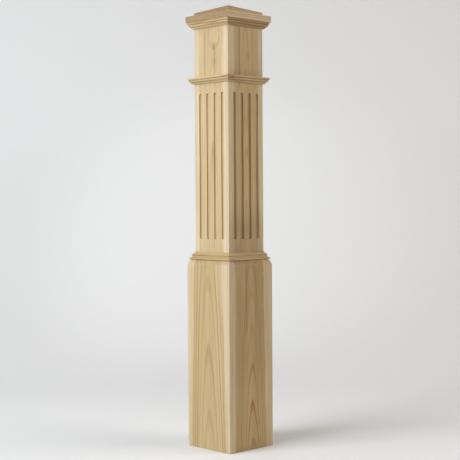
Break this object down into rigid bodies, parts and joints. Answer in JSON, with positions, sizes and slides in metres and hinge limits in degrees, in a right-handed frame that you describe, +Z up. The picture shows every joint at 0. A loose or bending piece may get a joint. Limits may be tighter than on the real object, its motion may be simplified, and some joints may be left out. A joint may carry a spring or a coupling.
{
  "type": "box newel post",
  "caption": "Square hollow newel post with a wider lower box, a fluted shaft, mitred neck and crown mouldings and a flat cap with a low point.",
  "frame": {"origin": "centre of the underside, on the floor", "axes": "+Z up along the post, the front face looks towards -Y, +X to the right"},
  "size_m": [0.16, 0.16, 1.1655],
  "materials": {
    "shaft_wood": "sanded, unfinished",
    "base_wood": "sanded, unfinished",
    "moulding_wood": "machined and sanded, unfinished",
    "cap_wood": "sanded, unfinished"
  },
  "bodies": {
    "root": {"shaft_board_front": "shaft_wood", "shaft_board_right": "shaft_wood", "shaft_board_back": "shaft_wood", "shaft_board_left": "shaft_wood", "base_board_front": "base_wood", "base_board_right": "base_wood", "base_board_back": "base_wood", "base_board_left": "base_wood", "transition_moulding_front": "moulding_wood", "transition_moulding_right": "moulding_wood", "transition_moulding_back": "moulding_wood", "transition_moulding_left": "moulding_wood", "neck_moulding_front": "moulding_wood", "neck_moulding_right": "moulding_wood", "neck_moulding_back": "moulding_wood", "neck_moulding_left": "moulding_wood", "crown_moulding_front": "moulding_wood", "crown_moulding_right": "moulding_wood", "crown_moulding_back": "moulding_wood", "crown_moulding_left": "moulding_wood", "cap_plate": "cap_wood", "cap_pyramid": "cap_wood"}
  },
  "joints": []
}
